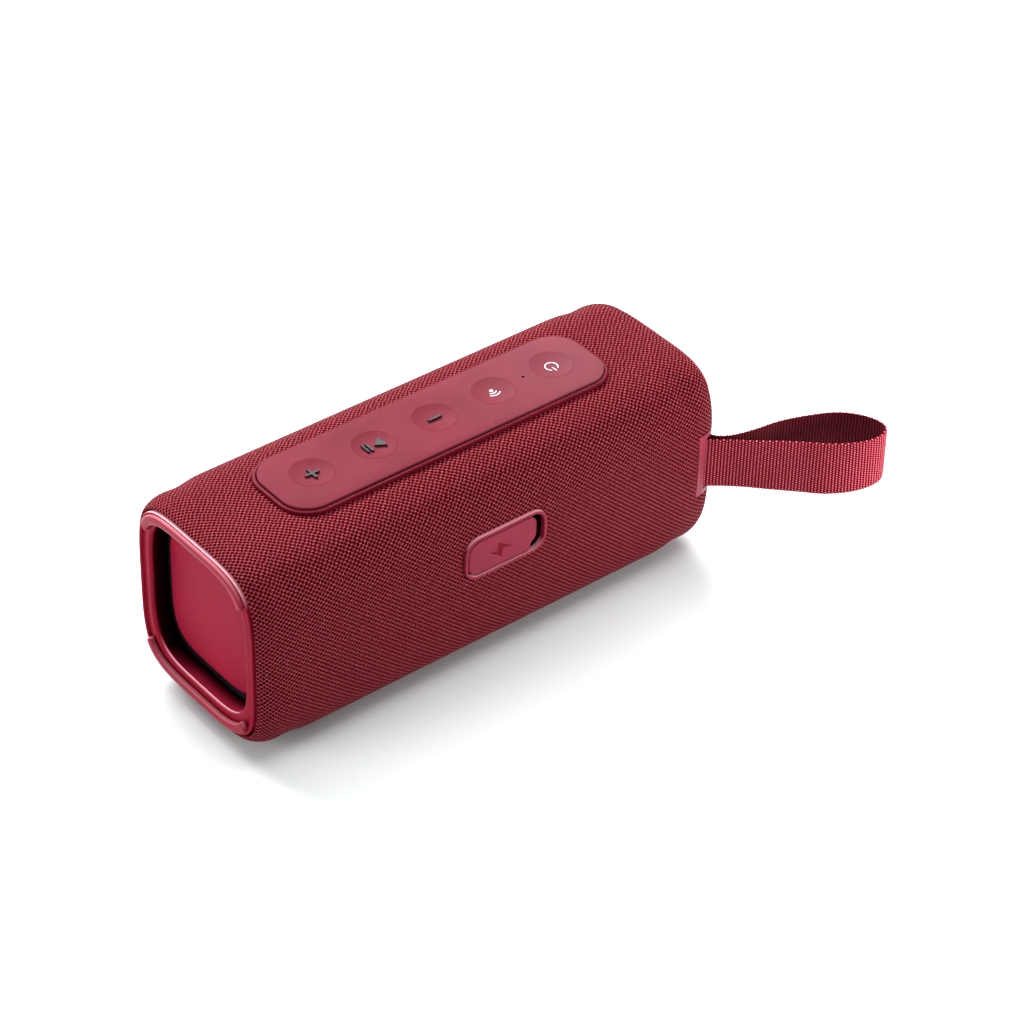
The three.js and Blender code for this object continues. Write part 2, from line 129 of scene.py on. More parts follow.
def noise_of(shader, where, scale, detail=2.0):
    """Soft noise, 0 to 1, with this many waves to the metre."""
    node = add_node(shader, "TexNoise", Vector=where, Scale=scale, Detail=detail)
    return node.outputs["Fac"]


def place_of(shader):
    """The Object coordinates of a point, in metres."""
    return add_node(shader, "TexCoord").outputs["Object"]


def bump_of(shader, height, distance, strength=1.0):
    """Bends the surface by a height of this many metres."""
    node = add_node(shader, "Bump", Height=height, Distance=distance, Strength=strength)
    shader.id_data.links.new(node.outputs["Normal"], shader.inputs["Normal"])


def link_to(shader, socket, value):
    """Feeds one of the shader's sockets from another node's."""
    shader.id_data.links.new(value, shader.inputs[socket])


def mix_over(shader, amount, colour, blend="MIX"):
    """Lays a colour over the shader's present base colour, by an amount from 0 to 1."""
    tone = shader.inputs["Base Color"].links[0].from_socket
    mixed = add_node(shader, "Mix", {"data_type": "RGBA", "blend_type": blend}, _0=amount, _6=tone, _7=colour)
    link_to(shader, "Base Color", mixed.outputs[2])


floor_mesh = bpy.data.meshes.new("floor")
FLOOR = 9  # metres from the middle to each edge
floor_corners = [(-FLOOR, -FLOOR, 0), (FLOOR, -FLOOR, 0), (FLOOR, FLOOR, 0), (-FLOOR, FLOOR, 0)]
floor_mesh.from_pydata(floor_corners, [], [(0, 1, 2, 3)])
floor = bpy.data.objects.new("floor", floor_mesh)
scene.collection.objects.link(floor)
floor_mesh.materials.append(shader_of("floor_paint", (0.82, 0.86, 0.86), 0.9, Specular_IOR_Level=0.1)[0])

world = bpy.data.worlds.new("room")
world.use_nodes = True
world.node_tree.nodes["Background"].inputs["Color"].default_value = (1, 1, 1, 1)
world.node_tree.nodes["Background"].inputs["Strength"].default_value = 0.35
scene.world = world


def lamp(name, place, target, width, height, watts):
    """A flat rectangular lamp that faces its target, in metres and watts."""
    data = bpy.data.lights.new(name, "AREA")
    data.shape = "RECTANGLE"
    data.size, data.size_y = width, height
    data.energy = watts
    made = bpy.data.objects.new(name, data)
    made.location = place
    made.rotation_euler = (Vector(target) - Vector(place)).to_track_quat("-Z", "Y").to_euler()
    scene.collection.objects.link(made)


lamp("lamp_behind", (0.25, 1.35, 1.1), (0, 0, 0.03), 1.8, 0.35, 64)
lamp("lamp_overhead", (0.4, 0.0, 1.4), (0, 0, 0), 1.3, 1.3, 21)
lamp("lamp_left", (-1.4, 0.45, 0.5), (0, 0, 0.03), 0.7, 0.6, 10)
lamp("lamp_right", (0.36, -0.3, 0.08), (0.04, -0.035, 0.045), 0.12, 0.08, 1.4)


# ---------------------------------------------------------------------------
# Fabric sleeve. A tube of woven polyester is pulled over the two shells and tucked
# under the end rings, with openings for the key panel, the port and the strap block.
# ---------------------------------------------------------------------------
FACE_X, END_ROUND = 95.0, 14.0
SIDE_Y, HALF_HEIGHT, MIDDLE_Z, TOP_Z = 35.6, 37.5, 38.5, 76.0
SECTION_POWER = 4.3
END_INSET, END_RISE = 4.15, 1.1


def signed_power(wave, power):
    """The wave with its size raised to a power and its sign kept, which squares off a sine or a cosine."""
    return np.sign(wave) * np.abs(wave) ** power


def section(angle, inset, rise):
    """The body's cross-section, a superellipse drawn in by inset and lifted by rise: y is the half width times the
    cosine, and z the half height times the sine, each with its size raised to 2 over the section's power."""
    y = (SIDE_Y - inset) * signed_power(np.cos(angle), 2 / SECTION_POWER)
    return y, MIDDLE_Z + rise + (HALF_HEIGHT - inset) * signed_power(np.sin(angle), 2 / SECTION_POWER)


def end_shape(x):
    """Inset and rise of the skin at x: nothing along the middle, then a quarter ellipse over the last 14 mm."""
    along = np.clip(1 - (FACE_X - np.abs(x)) / END_ROUND, 0, 1)
    drawn = 1 - np.sqrt(1 - along**2)
    return END_INSET * drawn, END_RISE * drawn


def even_angles(count, inset=0.0, rise=0.0):
    """Angles from 0 to a full turn, evenly spaced along the section's own length. The last one is where the first
    is."""
    fine = np.linspace(0, 2 * np.pi, 40001)
    y, z = section(fine, inset, rise)
    length = np.concatenate([[0], np.cumsum(np.hypot(np.diff(y), np.diff(z)))])
    return np.interp(np.linspace(0, length[-1], count), length, fine)


def grid_faces(rows, columns, wrap_rows=False, wrap_columns=False):
    """Quads of a grid of points counted row by row. The last row or column joins the first where it wraps."""
    i = np.arange(rows if wrap_rows else rows - 1)[:, None]
    j = np.arange(columns if wrap_columns else columns - 1)[None]
    near, far = i * columns, (i + 1) % rows * columns
    here, beside = j, (j + 1) % columns
    return np.stack([near + here, far + here, far + beside, near + beside], -1).reshape(-1, 4)


def build(name, points, faces, material, smooth=True, uv=None):
    """A mesh object in metres from points in millimetres. uv gives one pair for each point."""
    mesh = bpy.data.meshes.new(name)
    mesh.from_pydata((np.asarray(points).reshape(-1, 3) * MM).tolist(), [], [list(face) for face in faces])
    mesh.materials.append(material)
    mesh.polygons.foreach_set("use_smooth", np.full(len(mesh.polygons), smooth))
    if uv is not None:
        corner = np.zeros(len(mesh.loops), np.int32)
        mesh.loops.foreach_get("vertex_index", corner)
        layer = mesh.uv_layers.new(name="surface")
        layer.data.foreach_set("uv", np.asarray(uv).reshape(-1, 2)[corner].ravel())
    mesh.validate()
    made = bpy.data.objects.new(name, mesh)
    scene.collection.objects.link(made)
    return made


def finish_piece(piece, body, slot, *nodes):
    """Puts a piece on its body and hides the nodes that it stands for. The slot, which would name its finish, is not
    used.
    """
    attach(piece, body)
    if nodes:
        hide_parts(*nodes)
    return piece


def rounded_distance(x, y, length, width, corner):
    """Distance from the edge of a rounded rectangle about the middle, less than 0 inside it."""
    over_x, over_y = np.abs(x) - length / 2 + corner, np.abs(y) - width / 2 + corner
    outside = np.hypot(np.maximum(over_x, 0), np.maximum(over_y, 0))
    return outside + np.minimum(np.maximum(over_x, over_y), 0) - corner


PANEL_X, PANEL_Y, PANEL_LONG, PANEL_WIDE, PANEL_CORNER = 0.6, 0.5, 133.0, 33.4, 11.4
PORT_X, PORT_Z, PORT_LONG, PORT_HIGH, PORT_CORNER = 2.2, 47.5, 34.1, 16.7, 6.0
BLOCK_X, BLOCK_LOW, BLOCK_HIGH, BLOCK_BACK = 86.4, 26.5, 52.1, -28.0
# The cloth's holes for the panel and the port: long, wide, corner, half a millimetre inside the rims that cover them.
PANEL_HOLE = PANEL_LONG - 1, PANEL_WIDE - 1, PANEL_CORNER - 0.5
PORT_HOLE = PORT_LONG - 1, PORT_HIGH - 1, PORT_CORNER - 0.5
TOP_ABOVE, PORT_SIDE_BEYOND = 70, -30

# The weave's repeat in millimetres, along the body and round it, and how far the yarns wander.
WEAVE_ALONG, WEAVE_ROUND, WEAVE_WANDER = 1.89, 1.72, 0.8

woven, woven_shader = shader_of("woven_red", (0.3, 0.02, 0.035), 0.6, Specular_IOR_Level=0.02)
surface = add_node(woven_shader, "UVMap", {"uv_map": "surface"}).outputs["UV"]
wobble = noise_of(woven_shader, surface, 0.35, 1.0)
spread = add_node(woven_shader, "SeparateXYZ", Vector=surface)
along = math_of(woven_shader, "MULTIPLY_ADD", wobble, WEAVE_WANDER, spread.outputs["X"])
around = math_of(woven_shader, "MULTIPLY_ADD", wobble, WEAVE_WANDER, spread.outputs["Y"])
wave_along = wave_of(woven_shader, along, WEAVE_ALONG)
wave_round = wave_of(woven_shader, around, WEAVE_ROUND)
checks = math_of(woven_shader, "MULTIPLY", wave_along, wave_round)
columns = wave_of(woven_shader, along, WEAVE_ALONG / 2)
mixed = math_of(woven_shader, "MULTIPLY_ADD", columns, -0.3, checks)
fibres = noise_of(woven_shader, surface, 2.6, 3.0)
thread = math_of(woven_shader, "MULTIPLY_ADD", math_of(woven_shader, "SUBTRACT", fibres, 0.5), 2.0, mixed)
height = math_of(woven_shader, "MULTIPLY_ADD", thread, 0.38, 0.5)
# The weave's colour: its holes are dark, partly as open gaps and partly painted shade, and the pale pink on the yarn
# tops is a painted highlight.
weave_shade_and_highlight = ramp_of(
    woven_shader, height,
    (0.22, 0.018, 0.0, 0.0004), (0.45, 0.06, 0.0, 0.0015), (0.62, 0.16, 0.005, 0.012), (0.92, 0.52, 0.125, 0.155),
)
link_to(woven_shader, "Base Color", weave_shade_and_highlight)
bump_of(woven_shader, height, 0.45 * MM, 0.9)

turn = even_angles(241)[:-1]
end_steps = np.sin(np.radians([80, 74, 67, 60, 52, 45, 38, 30, 23, 16, 10, 5]))
end_places = FACE_X - END_ROUND * (1 - end_steps)
middle_places = np.linspace(-FACE_X + END_ROUND, FACE_X - END_ROUND, 163)
x_places = np.concatenate([-end_places, middle_places, end_places[::-1]])


def snap_outline(u, v, length, width, corner, reach):
    """Moves the grid points that lie within reach of a rounded rectangle's edge onto it, along its outward slope.
    Also gives each point's distance from the edge."""
    distance = rounded_distance(u, v, length, width, corner)
    small = 0.01
    slope_u = rounded_distance(u + small, v, length, width, corner) - distance
    slope_v = rounded_distance(u, v + small, length, width, corner) - distance
    size = np.maximum(np.hypot(slope_u, slope_v), 1e-9)
    near = np.abs(distance) < reach
    onto_u, onto_v = u - distance * slope_u / size, v - distance * slope_v / size
    return np.where(near, onto_u, u), np.where(near, onto_v, v), distance


grid_x, grid_turn = np.meshgrid(x_places, turn, indexing="ij")
inset, rise = end_shape(grid_x)
# The cloth is drawn in a little at the four corners, just before it reaches an end ring.
inset = inset + 0.8 * np.abs(np.sin(2 * grid_turn)) ** 3 * np.exp(-(((np.abs(grid_x) - 82) / 5) ** 2))
grid_y, grid_z = section(grid_turn, inset, rise)
# The weave is laid out by the cloth's own length in millimetres, along the body and round it.
round_steps = np.hypot(*(np.diff(w, append=w[:1]) for w in section(turn, 0, 0)))
round_length = np.concatenate([[0], np.cumsum(round_steps)])
along_length = np.concatenate([[0], np.cumsum(np.hypot(np.diff(x_places), np.diff(end_shape(x_places)[0])))])
grid_u = np.broadcast_to(along_length[:, None], grid_x.shape)
grid_v = np.broadcast_to(round_length[:-1], grid_x.shape)
on_top, on_port_side = grid_z > TOP_ABOVE, grid_y < PORT_SIDE_BEYOND

SNAP_REACH = 0.62
top_x, top_y, panel_distance = snap_outline(grid_x - PANEL_X, grid_y - PANEL_Y, *PANEL_HOLE, SNAP_REACH)
port_x, port_z, port_distance = snap_outline(grid_x - PORT_X, grid_z - PORT_Z, *PORT_HOLE, SNAP_REACH)
grid_x = np.where(on_top, top_x + PANEL_X, np.where(on_port_side, port_x + PORT_X, grid_x))
grid_y = np.where(on_top, top_y + PANEL_Y, grid_y)
grid_z = np.where(on_port_side, port_z + PORT_Z, grid_z)
# The cloth dips where it tucks under the panel's rim and the port's bezel.
grid_z = grid_z - 0.5 * np.where(on_top, np.exp(-np.maximum(panel_distance, 0) / 1.1), 0)
grid_y = grid_y + 0.35 * np.where(on_port_side, np.exp(-np.maximum(port_distance, 0) / 0.8), 0)

faces = grid_faces(*grid_x.shape, wrap_columns=True)
centre_x, centre_y, centre_z = (w.ravel()[faces].mean(1) for w in (grid_x, grid_y, grid_z))
in_panel = rounded_distance(centre_x - PANEL_X, centre_y - PANEL_Y, *PANEL_HOLE) < 0
in_panel &= centre_z > TOP_ABOVE
in_port = rounded_distance(centre_x - PORT_X, centre_z - PORT_Z, *PORT_HOLE) < 0
in_port &= centre_y < PORT_SIDE_BEYOND
in_block = (centre_y < BLOCK_BACK) & (centre_x > BLOCK_X) & (centre_z > BLOCK_LOW) & (centre_z < BLOCK_HIGH)
faces = faces[~(in_panel | in_port | in_block)]
kept, renumbered = np.unique(faces, return_inverse=True)
sleeve_points = np.stack([grid_x, grid_y, grid_z], -1).reshape(-1, 3)[kept]
sleeve = build(
    "fabric_sleeve_cloth", sleeve_points, renumbered.reshape(-1, 4)[:, ::-1], woven,
    uv=np.stack([grid_u, grid_v], -1).reshape(-1, 2)[kept],
)
# The faces that close the tube take the full length round, not 0, so that the weave runs on across the seam.
seam_uv = sleeve.data.uv_layers["surface"].data
uv_values = np.zeros(len(seam_uv) * 2, np.float32)
seam_uv.foreach_get("uv", uv_values)
uv_values = uv_values.reshape(-1, 4, 2)
FAR_APART = 100  # far more than a face is wide, and less than half the way round
wraps = uv_values[:, :, 1].max(1) - uv_values[:, :, 1].min(1) > FAR_APART
uv_values[wraps, :, 1] += np.where(uv_values[wraps, :, 1] < FAR_APART, round_length[-1], 0)
seam_uv.foreach_set("uv", uv_values.ravel())
wall = sleeve.modifiers.new("cloth", "SOLIDIFY")
wall.thickness, wall.offset = 1.1 * MM, -1
finish_piece(sleeve, "cabinet", "woven_fabric", "fabric_sleeve")


# ---------------------------------------------------------------------------
# End rings. One moulded frame at each end holds the cloth's edge: a rounded outer lip
# with a painted highlight, and an inner wall painted darker as it runs down to the moving plate.
# ---------------------------------------------------------------------------
# The pale pink of a painted highlight on faces that point up.
PAINTED_HIGHLIGHT_PALE = (0.9, 0.42, 0.48, 1)


def moulded(name, base, roughness, grain=0.018, gloss=0.12, painted_highlight=0.0, painted_highlight_beyond=0.0):
    """Moulded plastic or rubber with slow changes of tone and a grain of bumps, its depth in millimetres. What faces
    up, and lies beyond the given distance in millimetres from the body's middle, gets a painted highlight: its colour
    is mixed towards pale pink by the given amount."""
    material, shader = shader_of(name, base, roughness, Specular_IOR_Level=gloss)
    where = place_of(shader)
    tone = noise_of(shader, where, 60, 3)
    dark, light = (tuple(c * k for c in base) for k in (0.9, 1.1))
    link_to(shader, "Base Color", ramp_of(shader, tone, (0.3, *dark), (0.7, *light)))
    if painted_highlight:
        # Painted highlight: faces that point up are mixed towards pale pink.
        facing = add_node(shader, "TexCoord").outputs["Normal"]
        upward = add_node(shader, "SeparateXYZ", Vector=facing).outputs["Z"]
        highlight_mask = add_node(shader, "MapRange", Value=upward, From_Min=0.4, From_Max=0.75, To_Max=painted_highlight).outputs[0]
        outwards = math_of(shader, "ABSOLUTE", add_node(shader, "SeparateXYZ", Vector=where).outputs["X"])
        beyond = math_of(shader, "GREATER_THAN", outwards, painted_highlight_beyond * MM)
        mix_over(shader, math_of(shader, "MULTIPLY", highlight_mask, beyond), PAINTED_HIGHLIGHT_PALE)
    speckle = noise_of(shader, where, 2600, 2)
    link_to(shader, "Roughness", math_of(shader, "MULTIPLY_ADD", speckle, 0.12, roughness - 0.06))
    bump_of(shader, speckle, grain * MM, 0.7)
    return material


# The ring's upward faces beyond 94.1 mm from the middle get a painted highlight.
ring_red = moulded("ring_red", (0.225, 0.006, 0.022), 0.3, 0.005, 0.025, 0.95, 94.1)
ring_shader = shader_in(ring_red)
# Painted shade: the wall darkens from the ring's mouth down to the plate, more so on the listening side at +Y;
# elsewhere a painted highlight brightens a band just inside the mouth.
RECESS_BOTTOM, RECESS_DEPTH = 88.8, 5.4
DARK_FROM_Y, DARK_TO_Y = 4, 20
across_body = add_node(ring_shader, "SeparateXYZ", Vector=place_of(ring_shader))
from_middle = math_of(ring_shader, "ABSOLUTE", across_body.outputs["X"])
out_of_recess = math_of(
    ring_shader, "MULTIPLY_ADD", from_middle, 1 / (RECESS_DEPTH * MM), -RECESS_BOTTOM / RECESS_DEPTH
)
open_side = ramp_of(
    ring_shader, out_of_recess, (0.0, 0.02, 0.02, 0.02), (0.25, 0.3, 0.2, 0.3),
    (0.6, 1.0, 1.6, 1.4), (0.85, 1.4, 2.4, 2.0), (0.95, 1, 1, 1),
)
far_side = ramp_of(
    ring_shader, out_of_recess, (0.0, 0.005, 0.005, 0.005), (0.6, 0.03, 0.02, 0.02),
    (0.87, 0.12, 0.06, 0.06), (0.96, 1, 1, 1),
)
shaded_side = add_node(
    ring_shader, "MapRange", Value=across_body.outputs["Y"], From_Min=DARK_FROM_Y * MM, From_Max=DARK_TO_Y * MM
).outputs[0]
shade = add_node(ring_shader, "Mix", {"data_type": "RGBA"}, _0=shaded_side, _6=open_side, _7=far_side).outputs[2]
mix_over(ring_shader, 1.0, shade, "MULTIPLY")


def carried(profile_x, profile_inset, profile_rise, angles):
    """A closed profile of (x, inset, rise) carried right round the section: one row for each angle."""
    y, z = section(angles[:, None], np.asarray(profile_inset)[None], np.asarray(profile_rise)[None])
    return np.stack([np.broadcast_to(profile_x, y.shape), y, z], -1)


def smooth_profile(corners, radii, steps=5):
    """A closed outline with its corners rounded: each is a quadratic curve between the two points that lie a radius
    away from the corner."""
    corners = np.asarray(corners, float)
    outline = []
    for before, corner, after, radius in zip(np.roll(corners, 1, 0), corners, np.roll(corners, -1, 0), radii):
        start = corner + (before - corner) / np.linalg.norm(before - corner) * radius
        end = corner + (after - corner) / np.linalg.norm(after - corner) * radius
        t = np.linspace(0, 1, steps)[:, None]
        outline.append((1 - t) ** 2 * start + 2 * t * (1 - t) * corner + t**2 * end)
    return np.concatenate(outline)


def end_piece(name, side, corners, radii, material, base_rise=END_RISE, slope=0.26, notch=False):
    """A rounded profile of (depth, inset) carried round an end, its middle raised by slope for each mm of inset. A
    notch leaves room for the strap block."""
    outline = smooth_profile(corners, radii)
    angles = even_angles(241, 7)[:-1]
    rise = base_rise + slope * (outline[:, 1] - corners[0][1])
    points = carried(side * (FACE_X - outline[:, 0]), outline[:, 1], rise, angles)
    if notch:
        in_block = (points[..., 2] > BLOCK_LOW) & (points[..., 2] < BLOCK_HIGH)
        points[..., 1] = np.where(in_block, np.maximum(points[..., 1], BLOCK_BACK), points[..., 1])
    faces = grid_faces(len(angles), len(outline), True, True)
    return build(name, points, faces if side > 0 else faces[:, ::-1], material)


RING_CORNERS = [
    (7, 4.35), (-0.6, 4.3), (-0.55, 5.3), (0.6, 5.6), (0.05, 8.7), (0.8, 9.75), (6.2, 9.8), (6.2, 7.9), (2.6, 7.9),
    (2.6, 6.3), (7, 6.3),
]
RING_RADII = [0.2, 0.5, 0.45, 0.25, 0.6, 0.5, 0.2, 0.2, 0.2, 0.2, 0.2]
for side, name in ((-1, "left"), (1, "right")):
    ring = end_piece(f"end_ring_{name}_moulding", side, RING_CORNERS, RING_RADII, ring_red, notch=side > 0)
    finish_piece(ring, "cabinet", "red_plastic", f"end_ring_{name}")


# ---------------------------------------------------------------------------
# Bumper ribs. Two raised rubber strips lie on the face of each ring, one over the top
# and one under the bottom, and end in rounded knobs.
# ---------------------------------------------------------------------------
# The ribs' upward faces get a painted highlight.
rib_red = moulded("rib_red", (0.25, 0.009, 0.03), 0.33, 0.01, 0.08, 0.22)


def bumper_rib(name, side, start, end, inset, rise, width=3.0):
    """A rounded strip from one angle of the section to another. Its cross-section is a squared ellipse sunk a little
    in the ring's face, and its width and height grow from nothing at both ends over a short quarter circle."""
    lengthwise = np.linspace(0, 1, 120)
    from_end = np.minimum(lengthwise, 1 - lengthwise) * 40
    swell = np.sqrt(1 - (1 - np.clip(from_end, 0, 1)) ** 2)
    angle = np.radians(start + (end - start) * lengthwise)
    around = np.linspace(0, 2 * np.pi, 24, endpoint=False)
    across = inset + swell[:, None] * width / 2 * signed_power(np.cos(around), 0.7)
    out = 0.95 + swell[:, None] * 1.1 * signed_power(np.sin(around), 0.7)
    y, z = section(angle[:, None], across, rise)
    points = np.stack([side * (FACE_X - 0.15 + out), y, z], -1)
    faces = grid_faces(lengthwise.size, around.size, wrap_columns=True)
    return build(name, points, faces if side < 0 else faces[:, ::-1], rib_red)


for side, name in ((-1, "left"), (1, "right")):
    for place, start, end, inset, rise in (("top", 30, 149, 7, 1.8), ("bottom", 217, 327, 6.2, 1.6)):
        rib = bumper_rib(f"rib_{name}_{place}_rubber", side, start, end, inset, rise)
        finish_piece(rib, "cabinet", "red_silicone", f"bumper_rib_{name}_{place}")


# ---------------------------------------------------------------------------
# Moving end plates. Each passive radiator is a flat satin plate that hangs in a black
# rubber half-roll, which is clamped to the shell by a black frame.
# ---------------------------------------------------------------------------
plate_red = moulded("plate_red", (0.25, 0.0075, 0.027), 0.45, 0.006, 0.03)
roll_black = moulded("roll_black", (0.005, 0.002, 0.003), 0.5, 0.01, 0.03)
PLATE_INSET, PLATE_RISE, PLATE_RADIUS = 12.3, 3.5, 25.0
for side, name in ((-1, "left"), (1, "right")):
    # The plate's profile, from the middle of its face over its rounded edge to the middle of its back.
    depth = np.array([6.0, 6.0, 6.0, 6.05, 6.2, 6.5, 6.8, 8.4, 8.4, 8.4])
    drawn = np.array([PLATE_RADIUS, 4.0, 0.9, 0.45, 0.15, 0.02, 0.0, 0.0, 4.0, PLATE_RADIUS])
    angles = even_angles(181, PLATE_INSET)[:-1]
    y, z = section(angles[:, None], PLATE_INSET, PLATE_RISE)
    z_middle = MIDDLE_Z + PLATE_RISE
    shrink = np.maximum(1 - drawn / PLATE_RADIUS, 0)[None]
    places = np.broadcast_to(side * (FACE_X - depth), (angles.size, depth.size))
    points = np.stack([places, y * shrink, z_middle + (z - z_middle) * shrink], -1)
    faces = grid_faces(angles.size, depth.size, wrap_rows=True)
    plate = build(f"radiator_plate_{name}_satin", points, faces if side > 0 else faces[:, ::-1], plate_red)
    merge = plate.modifiers.new("close_middle", "WELD")
    merge.merge_threshold = 0.002 * MM
    finish_piece(plate, f"radiator_{name}", "radiator_red", f"radiator_plate_{name}")
    roll = end_piece(
        f"radiator_roll_{name}", side, [(6.9, 9.6), (6.3, 10.8), (7.0, 12.0), (8.0, 12.0), (8.0, 9.6)],
        [0.2, 0.6, 0.2, 0.1, 0.1], roll_black, 2.47,
    )
    finish_piece(roll, "cabinet", "black_rubber", f"radiator_surround_{name}")


# ---------------------------------------------------------------------------
# Key panel. A rounded moulded rim stands a little proud of the cloth and holds a silicone
# mat with five dished keys, whose marks are moulded in black or printed in white.
# ---------------------------------------------------------------------------
rim_red = moulded("rim_red", (0.12, 0.004, 0.012), 0.35, 0.012, 0.03)
mat_red = moulded("mat_red", (0.157, 0.0185, 0.032), 0.5, 0.02, 0.03)
# A painted reflection: a little grey pink on the silicone grows from the middle towards the carry loop's end.
mat_shader = shader_in(mat_red)
mat_along = add_node(mat_shader, "SeparateXYZ", Vector=place_of(mat_shader)).outputs["X"]
painted_reflection = add_node(mat_shader, "MapRange", Value=mat_along, From_Min=0, From_Max=66 * MM, To_Max=0.075).outputs[0]
mix_over(mat_shader, painted_reflection, (0.5, 0.31, 0.34, 1))


def rounded_outline(length, width, corner, steps=16):
    """Points round a rounded rectangle, counter-clockwise, with the unit outward direction at each."""
    arc = np.concatenate([np.linspace(0, np.pi / 2, steps) + k * np.pi / 2 for k in range(4)])
    which = np.repeat(np.arange(4), steps)
    centre_u = (length / 2 - corner) * np.array([1, -1, -1, 1])[which]
    centre_v = (width / 2 - corner) * np.array([1, 1, -1, -1])[which]
    outward = np.stack([np.cos(arc), np.sin(arc)], -1)
    return np.stack([centre_u, centre_v], -1) + corner * outward, outward


def rim_band(name, length, width, corner, profile, radii, material, lay):
    """A rounded profile of (inward, height) carried round a rounded rectangle. lay turns u, v and height into x, y
    and z."""
    outline = smooth_profile(profile, radii)
    path, outward = rounded_outline(length, width, corner)
    flat = path[:, None] - outward[:, None] * outline[None, :, :1]
    height = np.broadcast_to(outline[:, 1], flat.shape[:2])
    points = lay(flat[..., 0], flat[..., 1], height)
    return build(name, points, grid_faces(len(path), len(outline), True, True), material)


def lay_on_top(u, v, height):
    """Places on the body's top, about the key panel's middle."""
    return np.stack([u + PANEL_X, v + PANEL_Y, height + TOP_Z], -1)


trim = rim_band(
    "panel_trim_rim", PANEL_LONG, PANEL_WIDE, PANEL_CORNER,
    [(0, -2.6), (0, 0.9), (1.3, 0.9), (1.3, -1.5), (3.4, -1.5), (3.4, -2.6)], [0.1, 0.45, 0.35, 0.1, 0.1, 0.1],
    rim_red, lay_on_top,
)
finish_piece(trim, "cabinet", "red_plastic", "panel_trim")

KEY_NAMES = ("volume_up", "play_pause", "volume_down", "wireless", "power")
KEY_FIRST_X, KEY_PITCH, KEY_Y = -48.1, 24.7, 1.2
KEY_RADIUS, KEY_SCOOP, MAT_RISE = 7.35, 0.85, 1.6
MAT_LONG, MAT_WIDE, MAT_CORNER = 129.8, 30.2, 9.8

# The mat's top is five cells side by side, each drawn as rays from a key's hole out to the cell's own edge. Each
# ray's length is found by halving.
half_cell, half_mat = KEY_PITCH / 2, MAT_WIDE / 2
corner_rays = [np.arctan2(y + PANEL_Y - KEY_Y, x) for x in (-half_cell, half_cell) for y in (-half_mat, half_mat)]
ray = np.sort(np.concatenate([np.linspace(0, 2 * np.pi, 97)[:-1], np.mod(corner_rays, 2 * np.pi)]))
ray_cos, ray_sin = np.cos(ray), np.sin(ray)
spread_out = np.array([0, 0.04, 0.12, 0.3, 0.6, 1.0])
hole = KEY_RADIUS + 0.04
mat_points, mat_faces = [], []
for i in range(len(KEY_NAMES)):
    key_x = KEY_FIRST_X + i * KEY_PITCH
    near, far = np.zeros(ray.size), np.full(ray.size, 100.0)
    for _ in range(40):
        middle = (near + far) / 2
        at_x, at_y = key_x + middle * ray_cos, KEY_Y + middle * ray_sin
        outside = rounded_distance(at_x - PANEL_X, at_y - PANEL_Y, MAT_LONG, MAT_WIDE, MAT_CORNER) > 0
        if i > 0:
            outside |= at_x < key_x - half_cell
        if i < len(KEY_NAMES) - 1:
            outside |= at_x > key_x + half_cell
        near, far = np.where(outside, near, middle), np.where(outside, middle, far)
    radius = hole + (near[:, None] - hole) * spread_out
    cell_x, cell_y = key_x + radius * ray_cos[:, None], KEY_Y + radius * ray_sin[:, None]
    mat_points.append(np.stack([cell_x, cell_y, np.full_like(radius, TOP_Z + MAT_RISE)], -1).reshape(-1, 3))
    mat_faces.append(grid_faces(*radius.shape, wrap_rows=True)[:, ::-1] + radius.size * i)
mat = build("keypad_mat_silicone", np.concatenate(mat_points), np.concatenate(mat_faces), mat_red)
weld = mat.modifiers.new("cells", "WELD")
weld.merge_threshold = 0.01 * MM
wall = mat.modifiers.new("thickness", "SOLIDIFY")
wall.thickness, wall.offset = 2.9 * MM, -1
soften = mat.modifiers.new("edges", "BEVEL")
soften.width, soften.segments, soften.limit_method, soften.angle_limit = 0.08 * MM, 3, "ANGLE", math.radians(50)
finish_piece(mat, "cabinet", "red_silicone", "keypad_mat")


def dish(radius):
    """Height of a key's top above the panel: a round scoop, flat in the middle and steep at its edge. Its depth falls
    off with the radius raised to a power."""
    return MAT_RISE - KEY_SCOOP * np.clip(1 - (radius / (KEY_RADIUS - 0.1)) ** 2.3, 0, 1)


mark_black, mark_shader = shader_of("mark_black", (0.012, 0.008, 0.009), 0.45, Specular_IOR_Level=0.16)
mark_speckle = noise_of(mark_shader, place_of(mark_shader), 3000, 2)
mark_tone = ramp_of(mark_shader, mark_speckle, (0.3, 0.008, 0.005, 0.006), (0.7, 0.02, 0.015, 0.016))
link_to(mark_shader, "Base Color", mark_tone)
bump_of(mark_shader, mark_speckle, 0.01 * MM, 0.5)
mark_white, white_shader = shader_of("mark_white", (0.8, 0.78, 0.78), 0.5)
white_speckle = noise_of(white_shader, place_of(white_shader), 3000, 2)
white_tone = ramp_of(white_shader, white_speckle, (0.3, 0.72, 0.68, 0.69), (0.7, 0.88, 0.86, 0.86))
link_to(white_shader, "Base Color", white_tone)


